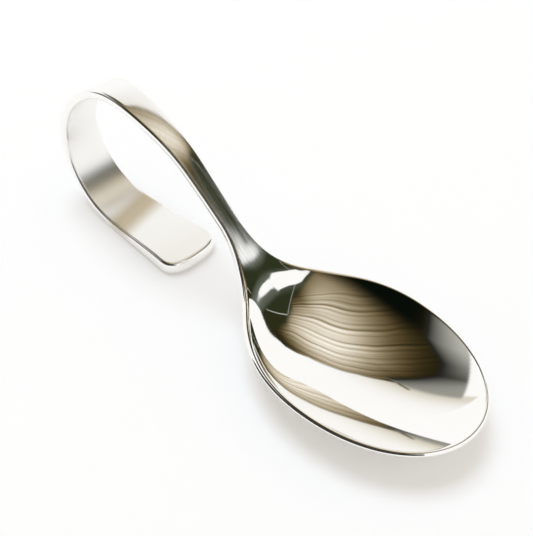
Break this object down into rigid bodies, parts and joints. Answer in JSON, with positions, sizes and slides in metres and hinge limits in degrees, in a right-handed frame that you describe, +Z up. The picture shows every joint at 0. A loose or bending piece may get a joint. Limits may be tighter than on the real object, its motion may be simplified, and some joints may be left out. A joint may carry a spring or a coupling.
{
  "type": "amuse-bouche spoon",
  "caption": "Amuse-bouche spoon whose oval bowl and slim neck run into a handle curled over as an open finger loop, ending in a flat foot so it stands level with a bite.",
  "frame": {"origin": "middle of the overall length and width, on the table plane under the foot and the bowl", "axes": "+X from the curled handle to the bowl tip, +Y to the left of that, +Z up out of the bowl"},
  "size_m": [0.1256, 0.0412, 0.0399],
  "materials": {
    "polished_steel": "mirror-polished stainless steel with faint polishing lines along the neck"
  },
  "bodies": {
    "root": {"spoon": "polished_steel"}
  },
  "joints": []
}
